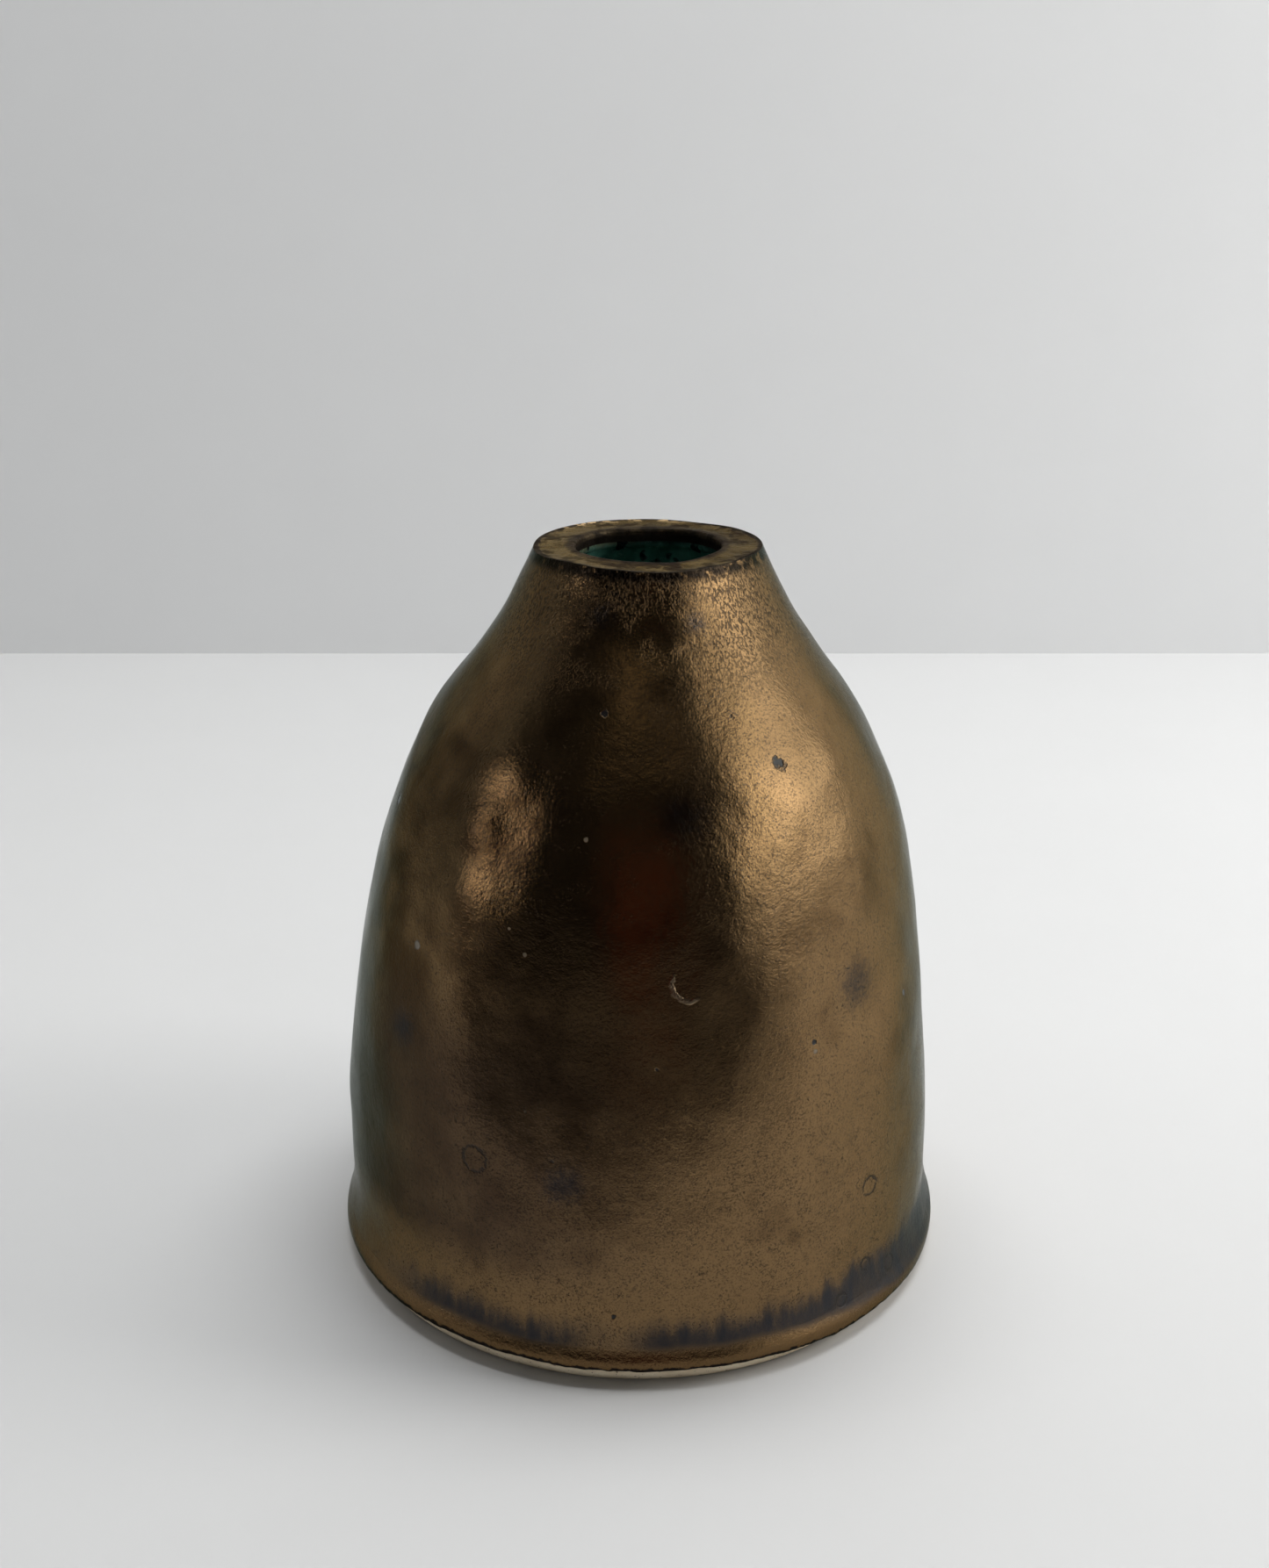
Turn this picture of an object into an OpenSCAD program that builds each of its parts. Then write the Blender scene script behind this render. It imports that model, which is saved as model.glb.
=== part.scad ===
// Ceramic bud vase: a bell-shaped stoneware bottle with a flat lip and a narrow mouth.
// It stands on the origin, +Z is up, and every piece is turned about the Z axis. Millimetres.
// The clay is a floor slab and a wall. Four coats of glaze lie on them: the bronze coat on the
// outside, its thick roll at the foot, the coat on the lip, and the green coat inside.

/* [Body] */
// Height from the table to the top of the lip
height = 105; // [100:1:112]
// Diameter at the glaze line, where the foot flares out
base_d = 90.2; // [88:0.1:94]
// Diameter of the upright wall above the flare
wall_d = 87.1; // [84:0.1:88]
// Height at which the flare has run out into the wall
flare_top = 11; // [9:0.5:14]
// Diameter at the shoulder, where the wall turns from bulging to hollow
shoulder_d = 57.2; // [54:0.1:60]
// Height of that turn
shoulder_z = 84; // [81:0.5:86]
// How far the wall leans in at the shoulder, across for each unit up
shoulder_lean = 0.76; // [0.7:0.01:0.8]

/* [Lip] */
// Outside diameter of the flat lip
lip_d = 31.2; // [30:0.1:33]
// How far the neck leans in just under the lip, across for each unit up
lip_lean = 0.44; // [0.4:0.01:0.55]
// Diameter of the mouth, glaze to glaze
mouth_d = 20; // [17:0.5:20.5]
// Depth of the mouth's straight wall, from the top of the lip
mouth_depth = 2.6; // [2:0.1:3]
// Radius of the rounded edge between the lip and the mouth
mouth_edge_r = 0.5; // [0.3:0.1:0.6]

/* [Foot] */
// Diameter of the ring that the vase stands on
foot_d = 85.4; // [82:0.1:86]
// Height of the glaze line, which is the top of the bare bevelled edge
glaze_line = 2.5; // [2:0.1:3]
// Diameter of the hollow under the floor
recess_d = 66; // [50:1:72]
// Depth of that hollow
recess_depth = 1.2; // [0.6:0.1:1.6]

/* [Clay] */
// Thickness of the clay wall
clay_t = 4.4; // [3.6:0.1:4.6]
// Height of the floor's upper face
floor_t = 6.2; // [5.6:0.1:8]
// Radius of the inside corner between the floor and the wall
heel_r = 6; // [5:0.5:9]

/* [Glaze] */
// Thickness of the bronze coat on the wall
bronze_t = 0.6; // [0.4:0.05:0.8]
// How far the roll of glaze at the foot bulges past the coat above it
roll_bulge = 0.25; // [0.1:0.05:0.4]
// Height at which the roll has run out into the coat
roll_top = 5.8; // [5:0.1:6.4]
// Thickness of the coat on the lip
lip_coat_t = 0.5; // [0.4:0.05:0.7]
// Depth below the lip at which the bronze coat gives way to the green one
seam_depth = 1.8; // [1.2:0.1:1.9]
// Thickness of the green coat inside
green_t = 0.5; // [0.4:0.05:0.7]

/* [Hidden] */
turn_fn = 120;

mouth_r = mouth_d / 2;
clay_mouth_r = mouth_r + lip_coat_t;
clay_top = height - lip_coat_t;
mouth_bottom = height - mouth_depth;
seam_z = height - seam_depth;
// The mouth's straight wall opens into the neck over this height.
mouth_bevel = 0.3;
neck_top = mouth_bottom - mouth_bevel;

// Depths below the outer skin: the clay's outside, its inside, and the green coat's face.
clay_outside = bronze_t;
clay_inside = bronze_t + clay_t;
green_face = bronze_t + clay_t + green_t;

// The outer skin is three cubic curves end to end, from the glaze line up to the lip. A handle
// is the height over which a curve keeps the slope that it has at one of its ends.
flare_low_handle = 3;
flare_high_handle = 3.5;
flare_lean = 0.2;
flare_curve = [
    [base_d / 2, glaze_line],
    [base_d / 2 - flare_low_handle * flare_lean, glaze_line + flare_low_handle],
    [wall_d / 2, flare_top - flare_high_handle],
    [wall_d / 2, flare_top],
];
wall_low_handle = 4;
wall_high_handle = 19;
wall_curve = [
    [wall_d / 2, flare_top],
    [wall_d / 2, flare_top + wall_low_handle],
    [shoulder_d / 2 + wall_high_handle * shoulder_lean, shoulder_z - wall_high_handle],
    [shoulder_d / 2, shoulder_z],
];
neck_handle = 9;
neck_curve = [
    [shoulder_d / 2, shoulder_z],
    [shoulder_d / 2 - neck_handle * shoulder_lean, shoulder_z + neck_handle],
    [lip_d / 2 + neck_handle * lip_lean, height - neck_handle],
    [lip_d / 2, height],
];

// Straight stretches that stand for each curve, and the least spacing of an outline's points.
flare_steps = 6;
wall_steps = 16;
neck_steps = 10;
least_gap = 0.05;

// A point on a cubic curve, t from 0 to 1, and the direction of travel there.
function on_curve(c, t) =
    pow(1 - t, 3) * c[0] + 3 * pow(1 - t, 2) * t * c[1] + 3 * (1 - t) * t * t * c[2] + pow(t, 3) * c[3];
function along_curve(c, t) =
    pow(1 - t, 2) * (c[1] - c[0]) + 2 * (1 - t) * t * (c[2] - c[1]) + t * t * (c[3] - c[2]);
// That point moved a depth into the wall, square to the curve.
function below_curve(c, t, depth) =
    let (way = along_curve(c, t))
    on_curve(c, t) - depth * [way[1], -way[0]] / norm(way);

// The whole skin at a depth into the wall, from the foot up. Each curve leaves the point that it
// shares with the next one to that one.
function skin(depth) = [
    for (i = [0 : flare_steps - 1]) below_curve(flare_curve, i / flare_steps, depth),
    for (i = [0 : wall_steps - 1]) below_curve(wall_curve, i / wall_steps, depth),
    for (i = [0 : neck_steps]) below_curve(neck_curve, i / neck_steps, depth),
];
// Radius of the skin at a depth and a height.
function skin_r(depth, z) = lookup(z, [for (p = skin(depth)) [p[1], p[0]]]);
// The stretch of the skin between two heights, from the lower to the upper.
function strip(depth, low, high) = [
    [skin_r(depth, low), low],
    for (p = skin(depth)) if (p[1] > low + least_gap && p[1] < high - least_gap) p,
    [skin_r(depth, high), high],
];
function reversed(points) = [for (i = [len(points) - 1 : -1 : 0]) points[i]];
// A round stretch of an outline, between two angles.
function arc(centre, r, from, to, steps) = [
    for (i = [0 : steps])
        let (angle = from + (to - from) * i / steps)
        centre + r * [cos(angle), sin(angle)],
];

// The inside corner between the floor and the wall, from the wall down to the floor.
function heel(depth) =
    let (
        coat = depth - clay_inside,
        z = floor_t + heel_r,
        r = skin_r(depth, z)
    )
    arc([r - heel_r + coat, z], heel_r - coat, 0, -90, 6);
// The edge between the mouth's wall and the lip, from the wall up to the lip.
function mouth_edge(r, z) = arc([r + mouth_edge_r, z - mouth_edge_r], mouth_edge_r, 180, 90, 4);

module turned(outline) {
    rotate_extrude($fn = turn_fn) polygon(outline);
}

// The slab that the vase stands on, with its bare bevelled edge and hollowed underside.
module clay_floor() {
    color("#e6dcc8")
        turned(concat(
            [[0, recess_depth], [recess_d / 2, recess_depth], [recess_d / 2 + recess_depth, 0], [foot_d / 2, 0]],
            strip(clay_outside, glaze_line, floor_t),
            [[0, floor_t]]
        ));
}

// The wall, shoulder and neck, raised on the slab and closed in to the mouth.
module clay_wall() {
    color("#ddd1ba")
        turned(concat(
            strip(clay_outside, floor_t, clay_top),
            reversed(mouth_edge(clay_mouth_r, clay_top)),
            [[clay_mouth_r, mouth_bottom]],
            reversed(strip(clay_inside, floor_t + heel_r, neck_top)),
            heel(clay_inside)
        ));
}

// The bronze coat over the outside, from the roll at the foot to the lip's sharp edge.
module outer_glaze() {
    color("#6f5230")
        turned(concat(
            strip(0, roll_top, height),
            reversed(strip(clay_outside, roll_top, clay_top))
        ));
}

// The thick roll where the run of the glaze stopped, just above the bare edge.
module glaze_roll() {
    steps = 8;
    rise = roll_top - glaze_line;
    bulged = [
        for (i = [0 : steps])
            let (share = i / steps, z = glaze_line + rise * share)
            [skin_r(0, z) + roll_bulge * sin(180 * share), z]
    ];
    color("#8a6536")
        turned(concat(bulged, reversed(strip(clay_outside, glaze_line, roll_top))));
}

// The coat on the flat lip and over its edge into the mouth.
module lip_glaze() {
    color("#655a45")
        turned(concat(
            [[lip_d / 2, height]],
            reversed(mouth_edge(mouth_r, height)),
            [[mouth_r, seam_z], [clay_mouth_r, seam_z]],
            mouth_edge(clay_mouth_r, clay_top),
            [[skin_r(clay_outside, clay_top), clay_top]]
        ));
}

// The green coat over the floor and the wall inside, up into the mouth.
module inner_glaze() {
    color("#2f6355")
        turned(concat(
            [[0, floor_t + green_t]],
            reversed(heel(green_face)),
            strip(green_face, floor_t + heel_r, neck_top),
            [[mouth_r, mouth_bottom], [mouth_r, seam_z], [clay_mouth_r, seam_z], [clay_mouth_r, mouth_bottom]],
            reversed(strip(clay_inside, floor_t + heel_r, neck_top)),
            heel(clay_inside),
            [[0, floor_t]]
        ));
}

clay_floor();
clay_wall();
outer_glaze();
glaze_roll();
lip_glaze();
inner_glaze();
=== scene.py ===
"""A small ceramic bud vase, thrown as nested layers, dented by hand, and glazed.

The floor and the wall are clay. A bronze coat covers the outside and ends in a thick roll at
the foot, an olive coat covers the flat lip, and a blue-green coat lines the inside. Each layer
is raised ring by ring as a coarse cage, all the cages are dented together so that they stay
nested, and each is then smoothed, given its skin and glazed.
"""

import logging
import math
from dataclasses import dataclass
from enum import Enum

import bpy
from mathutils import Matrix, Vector


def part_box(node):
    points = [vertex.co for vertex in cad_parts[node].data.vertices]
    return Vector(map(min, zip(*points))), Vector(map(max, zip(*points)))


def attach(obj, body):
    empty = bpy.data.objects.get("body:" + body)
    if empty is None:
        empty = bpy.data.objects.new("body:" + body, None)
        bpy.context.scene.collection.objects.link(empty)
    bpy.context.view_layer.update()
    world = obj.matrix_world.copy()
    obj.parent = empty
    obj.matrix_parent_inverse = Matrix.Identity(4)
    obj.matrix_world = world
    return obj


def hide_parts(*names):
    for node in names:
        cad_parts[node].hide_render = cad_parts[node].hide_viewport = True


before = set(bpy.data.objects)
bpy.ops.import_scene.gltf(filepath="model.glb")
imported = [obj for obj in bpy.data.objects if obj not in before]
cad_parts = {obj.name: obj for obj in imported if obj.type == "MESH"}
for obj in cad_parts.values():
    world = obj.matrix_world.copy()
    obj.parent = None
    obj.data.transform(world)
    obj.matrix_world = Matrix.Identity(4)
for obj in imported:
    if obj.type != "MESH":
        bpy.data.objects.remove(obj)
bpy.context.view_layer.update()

LOG = logging.getLogger("bud_vase")
MM = 0.001
SEGMENTS = 80
BODY = "root"
LEAST_MOVE = 0.02 * MM

Point = tuple[float, float]
Colour = tuple[float, float, float, float]


def rgb(red: float, green: float, blue: float) -> Colour:
    """Return a solid colour from its red, green and blue parts."""
    return (red, green, blue, 1.0)


# ---------------------------------------------------------------------------------------------
# The form that all the layers share
# ---------------------------------------------------------------------------------------------


def leant(end: Point, lean: float, rise: float) -> Point:
    """Return the point that lies a rise up from an outline's end, along the wall's lean there."""
    return (end[0] - lean * rise, end[1] + rise)


@dataclass(frozen=True)
class Curve:
    """One cubic stretch of the vase's outline, as four points of radius and height in mm."""

    points: tuple[Point, Point, Point, Point]

    def at(self, t: float, depth: float) -> Point:
        """Find a point of the curve moved into the wall.

        Args:
            t: Place along the curve, from 0 to 1.
            depth: Distance into the wall, square to the curve, in mm.

        Returns:
            The radius and the height of the point.
        """
        weights = ((1 - t) ** 3, 3 * (1 - t) ** 2 * t, 3 * (1 - t) * t * t, t**3)
        place = [sum(w * p[axis] for w, p in zip(weights, self.points)) for axis in (0, 1)]
        slopes = ((1 - t) ** 2, 2 * (1 - t) * t, t * t)
        steps = list(zip(self.points, self.points[1:]))
        way = [sum(w * (b[axis] - a[axis]) for w, (a, b) in zip(slopes, steps)) for axis in (0, 1)]
        length = math.hypot(*way)
        return (place[0] - depth * way[1] / length, place[1] + depth * way[0] / length)


@dataclass(frozen=True)
class Form:
    """Sizes of the vase in mm, and the outlines that follow from them."""

    height: float
    glaze_line: float
    roll_top: float
    floor_top: float
    clay_top: float
    seam: float
    mouth_bottom: float
    lip_r: float
    foot_r: float = 42.7
    base_r: float = 45.1
    wall_r: float = 43.55
    flare_top: float = 11.0
    flare_lean: float = 0.2
    flare_handles: Point = (3.0, 3.5)
    wall_handles: Point = (4.0, 19.0)
    shoulder: Point = (28.6, 84.0)
    shoulder_lean: float = 0.76
    neck_handle: float = 9.0
    lip_lean: float = 0.44
    mouth_r: float = 10.0
    mouth_depth: float = 2.6
    mouth_bevel: float = 0.3
    mouth_edge: float = 0.5
    recess_r: float = 33.0
    recess_depth: float = 1.2
    bronze: float = 0.6
    clay: float = 4.4
    green: float = 0.5
    lip_coat: float = 0.5
    heel: float = 6.0

    @classmethod
    def from_frame(cls) -> "Form":
        """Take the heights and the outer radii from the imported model's nodes.

        Returns:
            The form.
        """
        top = {name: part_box(name)[1].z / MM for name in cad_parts}
        low = {name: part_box(name)[0].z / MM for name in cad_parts}
        return cls(
            height=top["lip_glaze"],
            glaze_line=low["glaze_roll"],
            roll_top=low["outer_glaze"],
            floor_top=top["clay_floor"],
            clay_top=top["clay_wall"],
            seam=low["lip_glaze"],
            mouth_bottom=top["lip_glaze"] - cls.mouth_depth,
            lip_r=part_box("lip_glaze")[1].x / MM,
        )

    def curves(self) -> tuple[Curve, Curve, Curve]:
        """Draw the outer skin, from the glaze line up to the lip.

        Returns:
            The flare, the wall and the neck.
        """
        foot, spring = (self.base_r, self.glaze_line), (self.wall_r, self.flare_top)
        shoulder, lip = self.shoulder, (self.lip_r, self.height)
        low, high = self.flare_handles
        flare = Curve((foot, leant(foot, self.flare_lean, low), leant(spring, 0, -high), spring))
        low, high = self.wall_handles
        bend = leant(shoulder, self.shoulder_lean, -high)
        wall = Curve((spring, leant(spring, 0, low), bend, shoulder))
        reach = self.neck_handle
        bend = leant(shoulder, self.shoulder_lean, reach)
        neck = Curve((shoulder, bend, leant(lip, self.lip_lean, -reach), lip))
        return (flare, wall, neck)

    def skin(self, depth: float) -> list[Point]:
        """Return the fine outline at a depth into the wall, from the foot up."""
        fine = 60
        return [curve.at(i / fine, depth) for curve in self.curves() for i in range(fine + 1)]

    def radius(self, depth: float, z: float) -> float:
        """Find the radius of the skin.

        Args:
            depth: Distance into the wall in mm.
            z: Height in mm.

        Returns:
            The radius there in mm, or that of the nearer end past the outline's ends.
        """
        points = self.skin(depth)
        if z <= points[0][1]:
            return points[0][0]
        for (r0, z0), (r1, z1) in zip(points, points[1:]):
            if z0 <= z <= z1 and z1 > z0:
                return r0 + (r1 - r0) * (z - z0) / (z1 - z0)
        return points[-1][0]

    def strip(self, depth: float, low: float, high: float, pace: float) -> list[Point]:
        """Cut an even stretch of the skin.

        Args:
            depth: Distance into the wall in mm.
            low: Height of its lower end in mm.
            high: Height of its upper end in mm.
            pace: Height of one step in mm, about.

        Returns:
            The stretch's points, from the lower end to the upper.
        """
        steps = max(1, round((high - low) / pace))
        heights = [low + (high - low) * i / steps for i in range(steps + 1)]
        return [(self.radius(depth, z), z) for z in heights]

    def on_skin(self, bearing: float, z: float, depth: float = 0.0) -> Vector:
        """Find a point of the skin in space.

        Args:
            bearing: Degrees round from the front, positive to the right.
            z: Height in mm.
            depth: Distance into the wall in mm.

        Returns:
            The point, in metres.
        """
        r = self.radius(depth, z)
        turn = math.radians(bearing)
        return Vector((r * math.sin(turn), -r * math.cos(turn), z)) * MM


def arc(centre: Point, r: float, start: float, end: float, steps: int) -> list[Point]:
    """Return points on a round stretch of an outline, between two angles in degrees."""
    turns = [math.radians(start + (end - start) * i / steps) for i in range(steps + 1)]
    return [(centre[0] + r * math.cos(a), centre[1] + r * math.sin(a)) for a in turns]


# ---------------------------------------------------------------------------------------------
# Work at the bench
# ---------------------------------------------------------------------------------------------


class Ends(Enum):
    """What becomes of the first and the last ring of a turned cage."""

    OPEN = "open"
    JOINED = "joined"
    FILLED = "filled"


class Bench:
    """The edit-mode moves that shape a mesh."""

    @staticmethod
    def clear() -> None:
        """Leave edit mode and deselect every object."""
        if bpy.context.object and bpy.context.object.mode != "OBJECT":
            bpy.ops.object.mode_set(mode="OBJECT")
        bpy.ops.object.select_all(action="DESELECT")

    @staticmethod
    def take(piece: bpy.types.Object) -> None:
        """Make a piece the only selected object, and the active one.

        Args:
            piece: The piece.
        """
        Bench.clear()
        piece.select_set(True)
        bpy.context.view_layer.objects.active = piece

    @staticmethod
    def select(piece: bpy.types.Object, chosen: set[int]) -> None:
        """Enter edit mode on the active piece with some of its vertices selected.

        Args:
            piece: The active piece.
            chosen: Numbers of the vertices.
        """
        bpy.ops.object.mode_set(mode="EDIT")
        bpy.ops.mesh.select_mode(type="VERT")
        bpy.ops.mesh.select_all(action="DESELECT")
        bpy.ops.object.mode_set(mode="OBJECT")
        for vertex in piece.data.vertices:
            vertex.select = vertex.index in chosen
        bpy.ops.object.mode_set(mode="EDIT")

    @staticmethod
    def throw(name: str, outline: list[Point], ends: Ends) -> bpy.types.Object:
        """Raise a turned cage from a ring, one ring of the outline after another.

        Args:
            name: Name of the new piece.
            outline: Radius and height of each ring in mm.
            ends: What becomes of the first and the last ring.

        Returns:
            The cage, with its faces outwards.
        """
        Bench.clear()
        (r, z), *rest = outline
        bpy.ops.mesh.primitive_circle_add(
            vertices=SEGMENTS, radius=r * MM, fill_type="NOTHING", location=(0, 0, z * MM)
        )
        piece = bpy.context.object
        piece.name = name
        bpy.ops.object.transform_apply(location=True, rotation=True, scale=True)
        bpy.ops.object.mode_set(mode="EDIT")
        bpy.ops.mesh.select_mode(type="EDGE")
        bpy.ops.mesh.select_all(action="SELECT")
        for next_r, next_z in rest:
            bpy.ops.mesh.extrude_edges_move(
                TRANSFORM_OT_translate={"value": (0, 0, (next_z - z) * MM), "orient_type": "GLOBAL"}
            )
            grow = next_r / r
            bpy.ops.transform.resize(value=(grow, grow, 1), center_override=(0, 0, next_z * MM))
            r, z = next_r, next_z
        bpy.ops.object.mode_set(mode="OBJECT")
        first = set(range(SEGMENTS))
        last = {len(piece.data.vertices) - 1 - index for index in first}
        if ends is Ends.JOINED:
            Bench.select(piece, first | last)
            bpy.ops.mesh.select_mode(type="EDGE")
            bpy.ops.mesh.bridge_edge_loops()
        elif ends is Ends.FILLED:
            for ring in (first, last):
                Bench.select(piece, ring)
                bpy.ops.mesh.select_mode(type="EDGE")
                bpy.ops.mesh.edge_face_add()
                bpy.ops.mesh.poke()
        bpy.ops.object.mode_set(mode="EDIT")
        bpy.ops.mesh.select_all(action="SELECT")
        bpy.ops.mesh.remove_doubles(threshold=1e-7)
        bpy.ops.mesh.normals_make_consistent(inside=False)
        bpy.ops.object.mode_set(mode="OBJECT")
        return piece

    @staticmethod
    def crease(piece: bpy.types.Object, rings: list[Point]) -> None:
        """Keep rings of a cage sharp when it is smoothed.

        Args:
            piece: The cage.
            rings: Radius and height of each ring in mm.
        """
        slack = 0.02 * MM
        Bench.take(piece)
        for r, z in rings:
            near = {
                v.index
                for v in piece.data.vertices
                if abs(v.co.z - z * MM) < slack and abs(math.hypot(v.co.x, v.co.y) - r * MM) < slack
            }
            Bench.select(piece, near)
            bpy.ops.mesh.select_mode(type="EDGE")
            bpy.ops.transform.edge_crease(value=1.0)
            bpy.ops.object.mode_set(mode="OBJECT")

    @staticmethod
    def spokes(cage: bpy.types.Object) -> dict[float, set[int]]:
        """Sort a turned cage's vertices into the columns that run up it.

        Args:
            cage: The cage, before it is dented.

        Returns:
            The numbers of each column's vertices, by its degrees round from the front.
        """
        pace = 360 / SEGMENTS
        columns: dict[float, set[int]] = {pace * step: set() for step in range(SEGMENTS)}
        for vertex in cage.data.vertices:
            bearing = math.degrees(math.atan2(vertex.co.x, -vertex.co.y))
            columns[pace * (round(bearing / pace) % SEGMENTS)].add(vertex.index)
        return columns

    @staticmethod
    def shift(piece: bpy.types.Object, chosen: set[int], way: tuple[float, float, float]) -> None:
        """Move some vertices of the active piece.

        Args:
            piece: The active piece.
            chosen: Numbers of the vertices.
            way: The move in metres.
        """
        Bench.select(piece, chosen)
        bpy.ops.transform.translate(value=way, orient_type="GLOBAL")
        bpy.ops.object.mode_set(mode="OBJECT")

    @staticmethod
    def push(way: Vector, reach: float) -> None:
        """Move the selection of the mesh being edited, and drag what is near it along.

        Args:
            way: The move in metres.
            reach: Distance in metres at which nothing moves any more.
        """
        bpy.ops.transform.translate(
            value=way,
            orient_type="GLOBAL",
            use_proportional_edit=True,
            proportional_edit_falloff="SMOOTH",
            proportional_size=reach,
        )

    @staticmethod
    def finish_with(piece: bpy.types.Object, kind: str, **settings: object) -> None:
        """Add a modifier to a piece, set it up and apply it.

        Args:
            piece: The piece.
            kind: The modifier's type.
            settings: Its properties.
        """
        Bench.take(piece)
        modifier = piece.modifiers.new(kind.lower(), kind)
        for key, value in settings.items():
            setattr(modifier, key, value)
        bpy.ops.object.modifier_apply(modifier=modifier.name)

    @staticmethod
    def ruffle(
        piece: bpy.types.Object, shares: list[float], direction: str, waves: tuple[Point, ...]
    ) -> None:
        """Move a piece's skin by soft lumps.

        Args:
            piece: The piece.
            shares: How far each vertex follows, from 0 to 1.
            direction: The way of the moves, as the modifier names it.
            waves: Size of each kind of lump and its greatest move, in mm.
        """
        group = piece.vertex_groups.new(name="ruffled")
        for index, share in enumerate(shares):
            group.add([index], share, "REPLACE")
        for size, amount in waves:
            lumps = bpy.data.textures.new(f"lumps_{size:.0f}", "CLOUDS")
            lumps.noise_scale = size * MM
            lumps.noise_depth = 1
            Bench.finish_with(
                piece, "DISPLACE", texture=lumps, texture_coords="LOCAL", direction=direction,
                mid_level=0.5, strength=2 * amount * MM, vertex_group=group.name,
            )
        piece.vertex_groups.clear()

    @staticmethod
    def smooth(piece: bpy.types.Object, levels: int) -> None:
        """Round off a cage with a subdivision surface."""
        Bench.finish_with(piece, "SUBSURF", levels=levels, render_levels=levels)

    @staticmethod
    def shade(piece: bpy.types.Object, angle: float = 35.0) -> None:
        """Shade a piece smooth, apart from edges sharper than an angle in degrees."""
        Bench.take(piece)
        bpy.ops.object.shade_smooth_by_angle(angle=math.radians(angle))


# ---------------------------------------------------------------------------------------------
# Shader maths
# ---------------------------------------------------------------------------------------------


class Wire:
    """A number that a shader works out, which Python's operators can reckon with."""

    def __init__(self, graph: "Graph", socket: bpy.types.NodeSocket) -> None:
        """Wrap an output socket of a node."""
        self.graph = graph
        self.socket = socket

    def _math(self, operation: str, *terms: "Wire | float") -> "Wire":
        """Add a Math node for an operation on some terms."""
        made = self.graph.node("ShaderNodeMath", {"operation": operation}, dict(enumerate(terms)))
        return self.graph.wire(made)

    def __add__(self, other: "Wire | float") -> "Wire":
        """Return self + other."""
        return self._math("ADD", self, other)

    def __radd__(self, other: float) -> "Wire":
        """Return other + self."""
        return self._math("ADD", other, self)

    def __sub__(self, other: "Wire | float") -> "Wire":
        """Return self - other."""
        return self._math("SUBTRACT", self, other)

    def __rsub__(self, other: float) -> "Wire":
        """Return other - self."""
        return self._math("SUBTRACT", other, self)

    def __mul__(self, other: "Wire | float") -> "Wire":
        """Return self * other."""
        return self._math("MULTIPLY", self, other)

    def __rmul__(self, other: float) -> "Wire":
        """Return other * self."""
        return self._math("MULTIPLY", other, self)

    def __pow__(self, other: float) -> "Wire":
        """Return self to a power."""
        return self._math("POWER", self, other)

    def __abs__(self) -> "Wire":
        """Return the size of self."""
        return self._math("ABSOLUTE", self)

    def degrees(self) -> "Wire":
        """Turn self from radians to degrees."""
        return self._math("DEGREES", self)

    def arcsine(self) -> "Wire":
        """Return the angle whose sine is self, in radians."""
        return self._math("ARCSINE", self)

    def bearing(self, other: "Wire") -> "Wire":
        """Return the angle of the point (other, self), in radians."""
        return self._math("ARCTAN2", self, other)

    def at_most(self, other: "Wire | float") -> "Wire":
        """Return the smaller of self and other."""
        return self._math("MINIMUM", self, other)

    def at_least(self, other: "Wire | float") -> "Wire":
        """Return the larger of self and other."""
        return self._math("MAXIMUM", self, other)

    def rise(self, low: "Wire | float", high: "Wire | float") -> "Wire":
        """Ramp smoothly from 0 to 1.

        Args:
            low: Value of self at which the ramp starts.
            high: Value at which it ends. Below low, the ramp runs downwards.

        Returns:
            The ramp, held at 0 and 1 past its ends.
        """
        settings = {"interpolation_type": "SMOOTHSTEP"}
        feeds = {"Value": self, "From Min": low, "From Max": high}
        return self.graph.wire(self.graph.node("ShaderNodeMapRange", settings, feeds))


Feed = Wire | bpy.types.NodeSocket | float | tuple


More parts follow.
